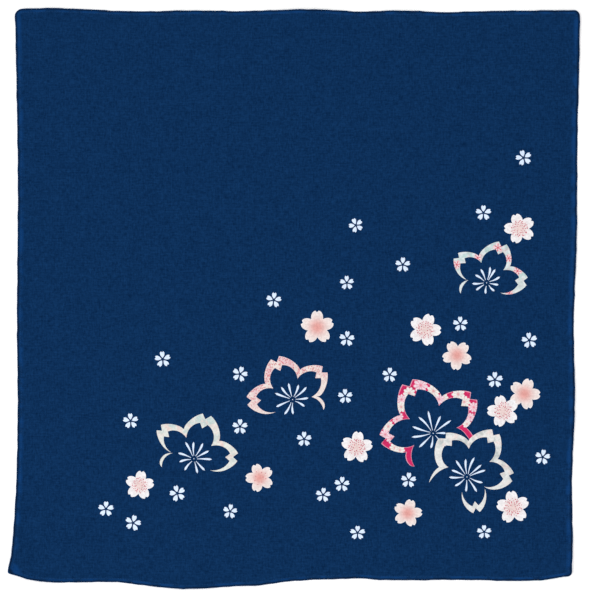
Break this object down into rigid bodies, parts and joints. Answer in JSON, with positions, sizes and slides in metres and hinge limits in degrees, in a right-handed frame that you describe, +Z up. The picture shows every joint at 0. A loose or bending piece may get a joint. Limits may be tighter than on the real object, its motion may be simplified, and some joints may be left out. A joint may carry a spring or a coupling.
{
  "type": "furoshiki wrapping cloth laid flat",
  "caption": "Square navy crepe wrapping cloth with a narrow turned hem and a scattered cherry blossom print, laid out flat.",
  "frame": {"origin": "centre of the cloth's outline on the surface that it lies on", "axes": "+Z up out of the printed face, +Y along the longer side towards the plain top edge, +X to the right of the print"},
  "size_m": [0.6946, 0.7056, 0.0103],
  "materials": {
    "crepe": "matte navy polyester crepe with a fine pebbled grain, printed in white, pink and red"
  },
  "bodies": {
    "root": {"cloth": "crepe"}
  },
  "joints": []
}
